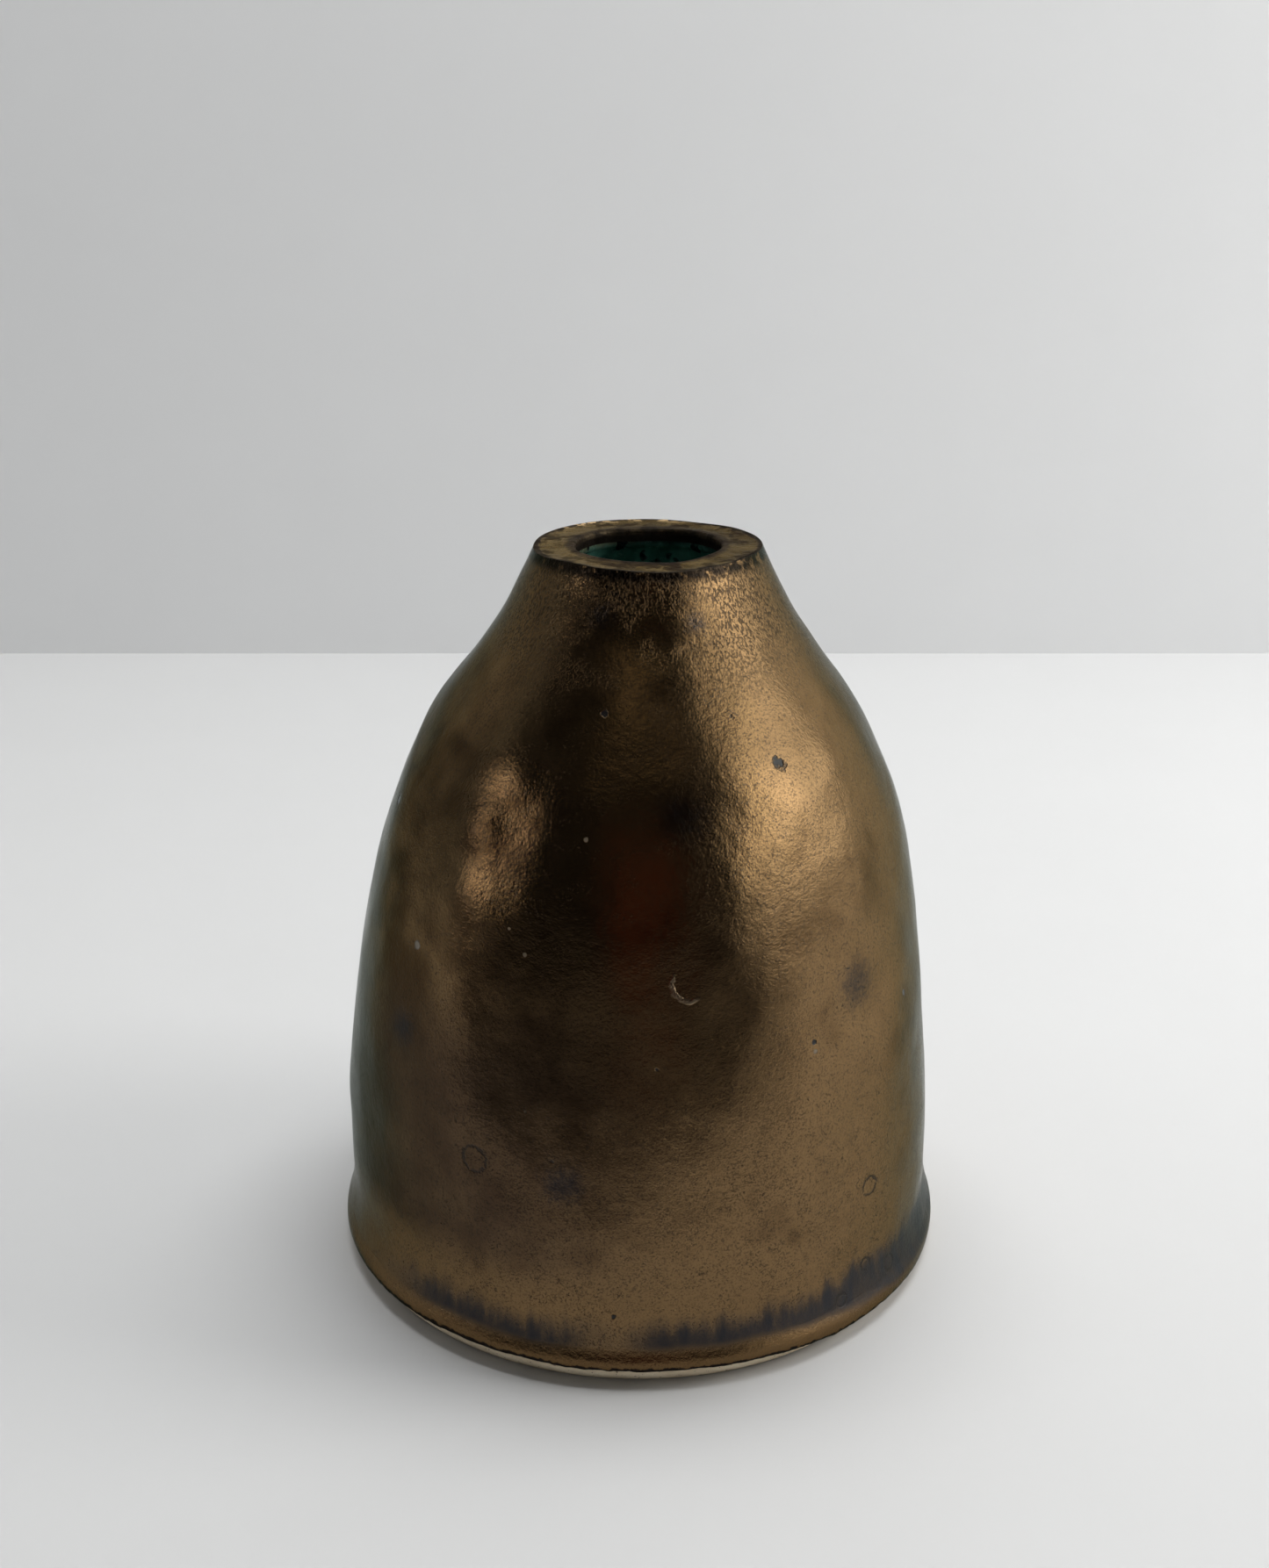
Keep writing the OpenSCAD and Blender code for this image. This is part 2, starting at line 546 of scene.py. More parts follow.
class Graph:
    """The nodes of a material or a world, and the few ways in which this script adds to them."""

    def __init__(self, owner: bpy.types.Material | bpy.types.World) -> None:
        """Empty the nodes of a material or a world.

        Args:
            owner: The material or world.
        """
        owner.use_nodes = True
        self.owner = owner
        self.tree = owner.node_tree
        self.tree.nodes.clear()

    def node(self, kind: str, settings: dict | None = None, feeds: dict | None = None) -> bpy.types.Node:
        """Add a node.

        Args:
            kind: Its type.
            settings: Its properties, set first.
            feeds: Values or links for its inputs, by name or number.

        Returns:
            The node.
        """
        made = self.tree.nodes.new(kind)
        for key, value in (settings or {}).items():
            setattr(made, key, value)
        for key, value in (feeds or {}).items():
            if isinstance(value, Wire):
                self.tree.links.new(value.socket, made.inputs[key])
            elif isinstance(value, bpy.types.NodeSocket):
                self.tree.links.new(value, made.inputs[key])
            else:
                made.inputs[key].default_value = value
        return made

    def wire(self, made: bpy.types.Node, output: int | str = 0) -> Wire:
        """Wrap a node's output as a number."""
        return Wire(self, made.outputs[output])

    def place(self, shift: tuple = (0, 0, 0), upright: float = 1.0) -> bpy.types.NodeSocket:
        """Read the point on the piece in mm.

        Args:
            shift: Move of the point in mm.
            upright: Factor on its height. Below 1 it draws a pattern out up and down.

        Returns:
            The point.
        """
        coordinates = self.node("ShaderNodeTexCoord").outputs["Object"]
        feeds = {"Vector": coordinates, "Location": shift, "Scale": (1 / MM, 1 / MM, upright / MM)}
        return self.node("ShaderNodeMapping", None, feeds).outputs[0]

    def noise(
        self, size: float, where: Feed, detail: float = 2.0, rough: float = 0.5, warp: float = 0.0
    ) -> Wire:
        """Add a noise.

        Args:
            size: Size of its lumps in mm.
            where: Point that it is read at, in mm.
            detail: Number of finer octaves.
            rough: Weight of each finer octave.
            warp: Distortion of its lumps.

        Returns:
            The noise, from 0 to 1 and mostly near the middle.
        """
        feeds = {"Vector": where, "Scale": 1 / size, "Detail": detail, "Roughness": rough}
        feeds["Distortion"] = warp
        return self.wire(self.node("ShaderNodeTexNoise", None, feeds), "Fac")

    def blend(self, share: Feed, first: Feed, second: Feed) -> bpy.types.NodeSocket:
        """Mix two colours by a share of the second."""
        settings = {"data_type": "RGBA", "blend_type": "MIX"}
        return self.node("ShaderNodeMix", settings, {0: share, 6: first, 7: second}).outputs[2]

    def shade(self, colour: Feed, by: Feed) -> bpy.types.NodeSocket:
        """Multiply a colour by a number."""
        settings = {"operation": "SCALE"}
        return self.node("ShaderNodeVectorMath", settings, {0: colour, "Scale": by}).outputs[0]

    def distance(self, where: Feed, centre: tuple) -> Wire:
        """Return the distance from a centre in mm."""
        made = self.node("ShaderNodeVectorMath", {"operation": "DISTANCE"}, {0: where, 1: centre})
        return self.wire(made, "Value")

    def parts(self, where: Feed) -> tuple[Wire, Wire, Wire]:
        """Split a point into its x, y and z."""
        made = self.node("ShaderNodeSeparateXYZ", None, {0: where})
        return tuple(self.wire(made, axis) for axis in range(3))

    def bump(self, height: Feed, depth: float, under: Feed | None = None) -> bpy.types.NodeSocket:
        """Add a bump.

        Args:
            height: The relief, from 0 to 1.
            depth: Height of the full relief in mm.
            under: A normal that the bump is laid on.

        Returns:
            The normal.
        """
        feeds = {"Height": height, "Distance": depth * MM, "Strength": 1.0}
        if under is not None:
            feeds["Normal"] = under
        return self.node("ShaderNodeBump", None, feeds).outputs[0]

    def surface(self, fixed: dict, feeds: dict) -> bpy.types.Material:
        """End the material with its shader.

        Args:
            fixed: Values that are the same all over.
            feeds: Links for what changes over the surface.

        Returns:
            The finished material.
        """
        shader = self.node("ShaderNodeBsdfPrincipled", None, {**fixed, **feeds})
        self.node("ShaderNodeOutputMaterial", None, {"Surface": shader.outputs[0]})
        return self.owner


# ---------------------------------------------------------------------------------------------
# Glazes and clay
# ---------------------------------------------------------------------------------------------


NEAR_EDGE = "near_edge"


class MarkKind(Enum):
    """Small marks in the bronze glaze."""

    PIT = "pit"
    SPECK = "speck"
    RING = "ring"
    SMUDGE = "smudge"
    SCAR = "scar"


@dataclass(frozen=True)
class Mark:
    """A small mark: its kind, degrees round from the front, height and radius in mm."""

    kind: MarkKind
    bearing: float
    z: float
    size: float


# The marks on the front were placed one by one, and a few more of each kind follow at the back.
MARKS = (
    Mark(MarkKind.PIT, 27.2, 87.6, 0.62),
    Mark(MarkKind.PIT, 35.8, 81.8, 1.35),
    Mark(MarkKind.PIT, 30.9, 77.2, 0.45),
    Mark(MarkKind.PIT, -10.4, 88.7, 0.60),
    Mark(MarkKind.PIT, -73.6, 71.4, 0.90),
    Mark(MarkKind.PIT, 63.0, 46.1, 0.60),
    Mark(MarkKind.PIT, 3.0, 46.2, 0.42),
    Mark(MarkKind.PIT, 34.0, 46.6, 0.45),
    Mark(MarkKind.PIT, -15.7, 32.7, 0.50),
    Mark(MarkKind.PIT, -4.5, 10.7, 0.42),
    Mark(MarkKind.PIT, 118.0, 58.0, 0.80),
    Mark(MarkKind.PIT, 171.0, 70.0, 0.60),
    Mark(MarkKind.PIT, 232.0, 44.0, 0.70),
    Mark(MarkKind.SPECK, -21.1, 39.1, 0.50),
    Mark(MarkKind.SPECK, -49.9, 56.4, 0.95),
    Mark(MarkKind.SPECK, -11.7, 74.8, 0.38),
    Mark(MarkKind.SPECK, -22.6, 59.9, 0.35),
    Mark(MarkKind.SPECK, -26.3, 62.8, 0.35),
    Mark(MarkKind.SPECK, 34.0, 45.3, 0.40),
    Mark(MarkKind.SPECK, 150.0, 36.0, 0.45),
    Mark(MarkKind.RING, 47.0, 22.0, 1.7),
    Mark(MarkKind.RING, 46.2, 9.7, 1.2),
    Mark(MarkKind.RING, 53.3, 7.3, 1.4),
    Mark(MarkKind.RING, 39.3, 6.6, 1.1),
    Mark(MarkKind.RING, -30.9, 30.7, 2.3),
    Mark(MarkKind.RING, 205.0, 24.0, 1.8),
    Mark(MarkKind.SMUDGE, -51.9, 44.3, 3.2),
    Mark(MarkKind.SMUDGE, 46.5, 52.0, 4.2),
    Mark(MarkKind.SMUDGE, 9.4, 77.6, 4.0),
    Mark(MarkKind.SMUDGE, -13.7, 29.8, 3.6),
    Mark(MarkKind.SMUDGE, -16.0, 99.5, 2.2),
    Mark(MarkKind.SMUDGE, 22.0, 98.5, 2.0),
    Mark(MarkKind.SMUDGE, 140.0, 64.0, 4.5),
)
SCAR = Mark(MarkKind.SCAR, 9.3, 57.2, 2.3)


@dataclass(frozen=True)
class BronzeFinish:
    """The satin bronze glaze, its speckle, its smoky band and its gold roll at the foot."""

    form: Form
    gold: Colour = rgb(0.190, 0.118, 0.055)
    brown: Colour = rgb(0.064, 0.036, 0.016)
    umber: Colour = rgb(0.026, 0.019, 0.014)
    # plum is painted shade for the ground's lower left.
    plum: Colour = rgb(0.050, 0.033, 0.024)
    smoke: Colour = rgb(0.019, 0.022, 0.029)
    roll: Colour = rgb(0.128, 0.076, 0.033)
    line: Colour = rgb(0.012, 0.009, 0.007)
    # The crescent's pale colour is a painted highlight on its ridge.
    scar: Colour = rgb(0.40, 0.31, 0.21)
    pit: Colour = rgb(0.010, 0.011, 0.014)
    ring: Colour = rgb(0.030, 0.025, 0.022)
    speck: Colour = rgb(0.20, 0.19, 0.16)
    edge: Colour = rgb(0.44, 0.49, 0.46)

    def make(self, name: str) -> bpy.types.Material:
        """Mix the glaze.

        Args:
            name: Name of the material.

        Returns:
            The material.
        """
        g = Graph(bpy.data.materials.new(name))
        where = g.place()
        z = g.parts(where)[2]
        broad = g.noise(17, where, 3)
        middle = g.noise(5, where, 3, warp=0.4)
        grain = g.noise(0.30, where, 3, 0.7)
        fleck = g.noise(0.65, where, 2, 0.6)
        colour = self._ground(g, where, broad, middle)
        clumps = g.noise(1.9, where, 2, 0.6).rise(0.36, 0.58)
        speckle = grain.rise(0.47, 0.66) * (0.30 + middle * 0.4 + clumps * 0.4)
        colour = g.blend(speckle * 0.80, colour, self.umber)
        worms = self._worms(g, where)
        colour = g.blend(worms * 0.75, colour, self.umber)
        streak_place = g.place(upright=0.24)
        streaks = g.noise(0.30, streak_place, 3, 0.62, 0.3).rise(0.49, 0.60)
        streaks = streaks * (z.rise(97, 105) + broad.rise(0.48, 0.56) * z.rise(86, 98)).at_most(1.0)
        colour = g.blend(streaks * 0.75, colour, self.umber)
        rim_line = z.rise(102.9, 104.3) * g.noise(1.3, where, 2).rise(0.30, 0.46)
        colour = g.blend(rim_line * 0.95, colour, self.line)
        colour, smoke = self._foot(g, where, colour)
        # Painted highlight: the fingernail crescent is painted pale, as well as bumped.
        scar = self._scar(g, where)
        colour = g.blend(scar * 0.8, colour, self.scar)
        smudges = self._marks(g, where, MarkKind.SMUDGE) * (0.4 + grain * 0.8).at_most(1.0)
        colour = g.blend(smudges * 0.8, colour, self.smoke)
        pits = self._marks(g, where, MarkKind.PIT)
        colour = g.blend(pits * 0.95, colour, self.pit)
        rings = self._marks(g, where, MarkKind.RING)
        colour = g.blend(rings * 0.85, colour, self.ring)
        specks = self._marks(g, where, MarkKind.SPECK)
        colour = g.blend(specks * 0.42, colour, self.speck)
        metal = 0.95 - smoke * 0.15 - speckle * 0.12 - pits * 0.6 - specks * 0.9
        rough = 0.13 + middle * 0.08 + smoke * 0.16 + speckle * 0.12
        relief = grain * 0.45 + fleck * 0.55
        normal = g.bump(g.noise(2.2, where, 2), 0.06)
        normal = g.bump(relief, 0.075, normal)
        holes = 0.7 - (pits * 0.7 + worms * 0.12 + streaks * 0.2 + rings * 0.2).at_most(0.7)
        normal = g.bump(holes + scar * 0.3, 0.16, normal)
        feeds = {"Base Color": colour, "Metallic": metal, "Roughness": rough, "Normal": normal}
        return g.surface({"IOR": 1.6, "Specular Tint": self.edge}, feeds)

    def _ground(self, g: Graph, where: Feed, broad: Wire, middle: Wire) -> bpy.types.NodeSocket:
        """Mix the glaze's ground: painted light makes it golder to the right, a painted reflection of
        the pale table makes it golder low down, and painted shade makes it plum at the lower left.

        Args:
            g: The material's graph.
            where: Point on the piece in mm.
            broad: The broad mottling.
            middle: The finer mottling.

        Returns:
            The colour.
        """
        x, _, z = g.parts(where)
        # Painted light: golder to the right, where the light falls, and golder low down as a painted
        # reflection of the pale table.
        painted_lit_side = (x * 0.9 + z * 0.25).rise(-26, 14)
        tone = broad * 0.6 + middle * 0.4 + painted_lit_side * 0.22 + z.rise(20, 12) * 0.26
        colour = g.blend(tone.rise(0.44, 0.76), self.brown, self.gold)
        # Painted shade: the lower left is turned plum.
        shadowed = x.rise(10, -22) * z.rise(56, 42) * z.rise(11, 19) * (0.45 + broad * 0.8).at_most(1.0)
        return g.blend(shadowed * 0.65, colour, self.plum)

    @staticmethod
    def _worms(g: Graph, where: Feed) -> Wire:
        """Scatter short curled hairlines over the lower wall.

        Args:
            g: The material's graph.
            where: Point on the piece in mm.

        Returns:
            Their share of the surface, from 0 to 1.
        """
        z = g.parts(where)[2]
        field = abs(g.noise(0.75, where, 1, warp=1.2) - 0.5)
        worms = field.rise(0.018, 0.004) * g.noise(1.6, where, 1).rise(0.48, 0.6)
        return worms * z.rise(8, 13) * z.rise(48, 30)

    def _foot(self, g: Graph, where: Feed, colour: Feed) -> tuple[bpy.types.NodeSocket, Wire]:
        """Lay the smoky band, the gold roll and the dark line on the glaze's lower end.

        Args:
            g: The material's graph.
            where: Point on the piece in mm.
            colour: Colour of the glaze above.

        Returns:
            The colour with the foot on it, and the share of smoke.
        """
        form = self.form
        x, y, z = g.parts(where)
        patches = g.noise(11, where, 2)
        wisps = g.noise(2.0, g.place(upright=0.26), 3, 0.55)
        right = x.rise(16, 42)
        left = x.rise(-26, -38)
        base = form.roll_top + patches * 1.6 - 0.9 - right * 2.2
        top = base + 1.9 + patches * 1.6 + (wisps - 0.45) * 5.0 + right * 4.6
        smoke = z.rise(top + 2.4, top - 1.8) * z.rise(base - 1.3, base + 0.7)
        gap = x.rise(-11, -6) * x.rise(3, -3)
        behind = y.rise(-8, 8)
        front = (1 - gap * 0.75) * (1 - left * 0.9) * (1 - behind)
        cover = front + behind * patches.rise(0.40, 0.54)
        smoke = smoke * cover * (0.62 + wisps * 0.6).at_most(1.0)
        colour = g.blend(smoke * 0.94, colour, self.smoke)
        rolled = z.rise(base + 1.0, base - 1.2) * (0.7 + wisps * 0.4) * (1 - left * 0.7)
        colour = g.blend(rolled.at_most(1.0), colour, self.roll)
        near = g.wire(g.node("ShaderNodeAttribute", {"attribute_name": NEAR_EDGE}), "Fac")
        ragged = near + (g.noise(0.9, where, 3, 0.6) - 0.5) * 0.7
        colour = g.blend(ragged.rise(0.60, 0.70) * near.rise(0.2, 0.4), colour, self.line)
        return colour, smoke

    def _scar(self, g: Graph, where: Feed) -> Wire:
        """Find the crescent that a fingernail left in the wall, on its front and on one side of its
        centre, where it carries a painted highlight.

        Args:
            g: The material's graph.
            where: Point on the piece in mm.

        Returns:
            The crescent's share, from 0 to 1.
        """
        centre = self.form.on_skin(SCAR.bearing, SCAR.z) / MM
        x, y, z = g.parts(where)
        ring = abs(g.distance(where, tuple(centre)) - SCAR.size + (g.noise(1.2, where, 2) - 0.5))
        side = (centre.x - x) + (centre.z - z)
        return ring.rise(0.48, 0.14) * side.rise(0.2, 1.8) * y.rise(0, -5)

    def _marks(self, g: Graph, where: Feed, kind: MarkKind) -> Wire:
        """Add up the marks of one kind.

        Args:
            g: The material's graph.
            where: Point on the piece in mm.
            kind: The marks wanted.

        Returns:
            Their share of the surface, from 0 to 1.
        """
        ragged = g.noise(0.7, where, 2)
        total = None
        for mark in (m for m in MARKS if m.kind is kind):
            centre = tuple(self.form.on_skin(mark.bearing, mark.z) / MM)
            wobble = 0.45 if kind is MarkKind.RING else 1.3
            reach = g.distance(where, centre) + (ragged - 0.5) * mark.size * wobble
            if kind is MarkKind.RING:
                share = abs(reach - mark.size * 0.8).rise(0.32, 0.10) * ragged.rise(0.30, 0.46)
            elif kind is MarkKind.SMUDGE:
                share = reach.rise(mark.size * 1.2, mark.size * 0.1)
            else:
                share = reach.rise(mark.size, mark.size * 0.55)
            total = share if total is None else total.at_least(share)
        return total


@dataclass(frozen=True)
class LipFinish:
    """The olive-bronze glaze on the lip, darker along its edges and dipping into the mouth, with painted
    shade down the mouth's bore and a painted highlight on the far rim.
    """

    form: Form
    olive: Colour = rgb(0.125, 0.088, 0.045)
    pale: Colour = rgb(0.270, 0.195, 0.105)
    dark: Colour = rgb(0.014, 0.011, 0.009)
    # A pale colour for the painted highlight on the far rim.
    painted_rim_highlight: Colour = rgb(0.70, 0.50, 0.28)
    edge: Colour = rgb(0.40, 0.36, 0.27)

    def make(self, name: str) -> bpy.types.Material:
        """Mix the glaze.

        Args:
            name: Name of the material.

        Returns:
            The material.
        """
        g = Graph(bpy.data.materials.new(name))
        where = g.place(shift=(-LEAN.shift, 0, 0))
        x, y, z = g.parts(where)
        out = (x * x + y * y) ** 0.5
        form = self.form
        broad = g.noise(4.5, where, 3)
        grain = g.noise(0.33, where, 2, 0.6)
        ragged = g.noise(1.3, where, 3, 0.6)
        colour = g.blend((broad + x * -0.008).rise(0.42, 0.62), self.olive, self.pale)
        colour = g.blend(grain.rise(0.50, 0.66) * 0.6, colour, self.dark)
        blotches = g.noise(2.6, where, 3, 0.6).rise(0.47, 0.61)
        colour = g.blend(blotches * 0.8, colour, self.dark)
        inner = (out + ragged * 1.6).rise(form.mouth_r + 2.6, form.mouth_r + 1.5)
        colour = g.blend(inner * 0.8, colour, self.dark)
        outer = (out + ragged * 1.1).rise(form.lip_r - 0.35, form.lip_r + 0.05)
        colour = g.blend(outer * 0.9, colour, self.dark)
        # Painted highlight: pale glints along the far rim of the lip.
        painted_rim_highlights = g.noise(1.2, where, 2).rise(0.50, 0.58) * out.rise(form.lip_r - 1.8, form.lip_r - 0.9)
        painted_rim_highlights = painted_rim_highlights * y.rise(6, 12) * x.rise(7, 2)
        colour = g.blend(painted_rim_highlights, colour, self.painted_rim_highlight)
        # Painted shade: the mouth's bore below the lip's top is painted near-black and rougher.
        bore_shade = z.rise(form.height - 0.25 - ragged * 0.6, form.height - 0.7 - ragged * 0.6)
        bore_shade = bore_shade * out.rise(form.mouth_r + 1.2, form.mouth_r + 0.6)
        colour = g.blend(bore_shade * 0.95, colour, self.dark)
        metal = 0.88 - outer * 0.15 - inner * 0.10
        rough = 0.20 + broad * 0.14 + bore_shade * 0.40 + outer * 0.30 + inner * 0.20 + blotches * 0.15
        normal = g.bump(broad * 0.6 + ragged * 0.4, 0.50)
        normal = g.bump(grain, 0.05, normal)
        feeds = {"Base Color": colour, "Metallic": metal, "Roughness": rough, "Normal": normal}
        return g.surface({"IOR": 1.6, "Specular Tint": self.edge}, feeds)


@dataclass(frozen=True)
class GreenFinish:
    """The glossy blue-green glaze inside, with an overlap band below the mouth, olive on the left and
    painted shade in black elsewhere, and black drips below the mouth.
    """

    form: Form
    teal: Colour = rgb(0.060, 0.205, 0.165)
    pool: Colour = rgb(0.120, 0.330, 0.265)
    olive: Colour = rgb(0.085, 0.080, 0.045)
    black: Colour = rgb(0.006, 0.006, 0.006)

    def make(self, name: str) -> bpy.types.Material:
        """Mix the glaze.

        Args:
            name: Name of the material.

        Returns:
            The material.
        """
        g = Graph(bpy.data.materials.new(name))
        where = g.place()
        x, _, z = g.parts(where)
        runs = g.noise(2.6, g.place(upright=0.45), 3)
        colour = g.blend(runs.rise(0.38, 0.62), self.teal, self.pool)
        ragged = g.noise(1.8, where, 3, 0.6)
        line = self.form.mouth_bottom + ragged * 2.0
        # Painted shade: the overlap band is olive on the left and near-black on the rest, the mouth's
        # shaded side.
        overlap_and_shade = z.rise(line - 1.9, line)
        left = x.rise(2, -6)
        colour = g.blend(overlap_and_shade * 0.9, colour, g.blend(left, self.black, self.olive))
        drips = g.noise(3.4, g.place(upright=0.60), 2).rise(0.60, 0.64) * z.rise(88, 98)
        colour = g.blend(drips, colour, self.black)
        feeds = {"Base Color": colour, "Roughness": 0.18 + ragged * 0.15}
        feeds["Normal"] = g.bump(runs * 0.7 + ragged * 0.3, 0.15)
        return g.surface({"IOR": 1.55, "Coat Weight": 0.4, "Coat Roughness": 0.1}, feeds)


@dataclass(frozen=True)
class ClayFinish:
    """Bare cream stoneware: fine grit, iron specks and a warmer edge under the glaze."""

    form: Form
    # cream and warm are warmer than the clay's own colour: partly painted warm light, bounced under the
    # foot.
    cream: Colour = rgb(0.80, 0.69, 0.51)
    warm: Colour = rgb(0.58, 0.45, 0.29)
    iron: Colour = rgb(0.14, 0.08, 0.05)

    def make(self, name: str) -> bpy.types.Material:
        """Mix the clay.

        Args:
            name: Name of the material.

        Returns:
            The material.
        """
        g = Graph(bpy.data.materials.new(name))
        where = g.place()
        z = g.parts(where)[2]
        broad = g.noise(6, where, 3)
        grit = g.noise(0.35, where, 2, 0.65)
        colour = g.blend(broad.rise(0.4, 0.62) * 0.4, self.cream, self.warm)
        under = z.rise(self.form.glaze_line - 0.9, self.form.glaze_line - 0.1)
        colour = g.blend(under * 0.35, colour, self.warm)
        colour = g.blend(g.noise(0.55, where, 1).rise(0.68, 0.72) * 0.8, colour, self.iron)
        feeds = {"Base Color": colour, "Roughness": 0.72 + grit * 0.2, "Normal": g.bump(grit, 0.06)}
        return g.surface({"IOR": 1.45}, feeds)


# ---------------------------------------------------------------------------------------------
# Shaping by hand
# ---------------------------------------------------------------------------------------------


@dataclass(frozen=True)
class Lean:
    """The neck's slight lean: a sideways shift of the lip and how far down it reaches, in mm."""

    shift: float = 1.2
    reach: float = 80.0


@dataclass(frozen=True)
class Dent:
    """A push of a thumb: degrees round from the front, then height, push outwards, reach, push
    upwards, and depth into the wall, in mm."""

    bearing: float
    z: float
    push: float
    reach: float
    lift: float = 0.0
    depth: float = 0.0


LEAN = Lean()
# Pushes over the front and the shoulder first, then at the lip and mouth, then round the back.
DENTS = (
    Dent(-36, 81, 0.28, 7),
    Dent(-40, 74, 0.40, 7),
    Dent(-42, 69.5, -0.28, 5),
    Dent(-42, 65.5, 0.36, 5),
    Dent(-41, 61, -0.22, 5),
    Dent(-40, 57, 0.22, 6),
    Dent(-51, 76, -0.30, 8),
    Dent(-30, 70, -0.25, 8),
    Dent(-37, 86, 0.40, 11),
    Dent(-30, 78, -0.30, 9),
    Dent(-54, 68, -0.50, 12),
    Dent(-48, 48, -0.40, 14),
    Dent(-20, 44, -0.40, 16),
    Dent(-32, 36, 0.35, 10),
    Dent(-16, 28, -0.30, 12),
    Dent(-7, 90, 0.45, 8),
    Dent(4, 80, -0.35, 12),
    Dent(8, 57, -0.35, 9),
    Dent(20, 51, -0.30, 9),
    Dent(22, 84, 0.30, 11),
    Dent(35, 78, 0.30, 9),
    Dent(33, 62, -0.30, 12),
    Dent(46, 66, 0.25, 9),
    Dent(47, 52, -0.45, 10),
    Dent(56, 81, 0.20, 5),
    Dent(60, 40, 0.35, 12),
    Dent(28, 34, 0.30, 14),
    Dent(-66, 26, -0.35, 14),
    Dent(2, 20, 0.25, 16),
    Dent(178, 105, -1.20, 8, 0.0, 5.6),
    Dent(150, 105, -0.25, 7, -0.15),
    Dent(-75, 105, 0.20, 8, -0.20),
    Dent(-35, 105, -0.25, 7, 0.15),
    Dent(12, 105, 0.20, 7, -0.20),
    Dent(60, 105, -0.20, 8, 0.10),
    Dent(-100, 105, -0.20, 5, 0.15, 5.6),
    Dent(30, 105, 0.30, 5, -0.10, 5.6),
    Dent(80, 66, 0.50, 16),
    Dent(100, 42, -0.60, 18),
    Dent(125, 72, 0.60, 15),
    Dent(140, 34, 0.50, 18),
    Dent(165, 58, -0.60, 17),
    Dent(185, 78, 0.50, 14),
    Dent(200, 30, -0.50, 18),
    Dent(222, 60, 0.60, 16),
    Dent(245, 40, 0.50, 17),
    Dent(262, 70, -0.60, 15),
    Dent(285, 28, 0.40, 16),
)


@dataclass(frozen=True)
class Sag:
    """A stretch of a glaze's lower edge: its middle and half width in degrees, its lift in mm."""

    bearing: float
    lift: float
    half: float

    def share(self, bearing: float) -> float:
        """Return how much of the lift a bearing in degrees has, from 0 to 1."""
        off = abs((bearing - self.bearing + 180) % 360 - 180) / self.half
        return 0.5 + 0.5 * math.cos(math.pi * off) if off < 1 else 0.0


class Shaping:
    """Bends and dents all the cages as one, so that the layers stay nested."""

    def __init__(self, form: Form) -> None:
        """Keep the form that the dents lie on."""
        self.form = form

    def work(self, cages: dict[str, bpy.types.Object]) -> dict[str, bpy.types.Object]:
        """Join the cages, lean and dent them, and part them again.

        Args:
            cages: The cages by name.

        Returns:
            The shaped cages by name.
        """
        for name, cage in cages.items():
            group = cage.vertex_groups.new(name=name)
            group.add(range(len(cage.data.vertices)), 1.0, "REPLACE")
        Bench.clear()
        for cage in cages.values():
            cage.select_set(True)
        bpy.context.view_layer.objects.active = next(iter(cages.values()))
        bpy.ops.object.join()
        whole = bpy.context.object
        self._lean(whole)
        for dent in DENTS:
            self._press(whole, dent)
        return self._part(whole, list(cages))

    def _lean(self, whole: bpy.types.Object) -> None:
        """Shift the lip sideways and let the neck follow.

        Args:
            whole: The joined cages.
        """
        top = {v.index for v in whole.data.vertices if v.co.z > (self.form.height - 0.6) * MM}
        Bench.select(whole, top)
        Bench.push(Vector((LEAN.shift * MM, 0, 0)), LEAN.reach * MM)
        bpy.ops.object.mode_set(mode="OBJECT")

    def _press(self, whole: bpy.types.Object, dent: Dent) -> None:
        """Push one place of the wall in or out.

        Args:
            whole: The joined cages.
            dent: The push.
        """
        centre = self.form.on_skin(dent.bearing, dent.z, dent.depth)
        nearest = min(whole.data.vertices, key=lambda v: (v.co - centre).length_squared)
        turn = math.radians(dent.bearing)
        Bench.select(whole, {nearest.index})
        way = Vector((math.sin(turn) * dent.push, -math.cos(turn) * dent.push, dent.lift)) * MM
        Bench.push(way, dent.reach * MM)
        bpy.ops.object.mode_set(mode="OBJECT")

    @staticmethod
    def _part(whole: bpy.types.Object, names: list[str]) -> dict[str, bpy.types.Object]:
        """Take the joined cages apart by their vertex groups.

        Args:
            whole: The joined cages.
            names: Names of the groups.

        Returns:
            Each cage by name.
        """
        parted = {}
        for name in names[1:]:
            Bench.take(whole)
            index = whole.vertex_groups[name].index
            own = {v.index for v in whole.data.vertices if index in [g.group for g in v.groups]}
            Bench.select(whole, own)
            bpy.ops.mesh.separate(type="SELECTED")
            bpy.ops.object.mode_set(mode="OBJECT")
            parted[name] = next(o for o in bpy.context.selected_objects if o is not whole)
        parted[names[0]] = whole
        for name, piece in parted.items():
            piece.name = name
            piece.data.name = name
            piece.vertex_groups.clear()
        return parted


# ---------------------------------------------------------------------------------------------
# The pieces
# ---------------------------------------------------------------------------------------------


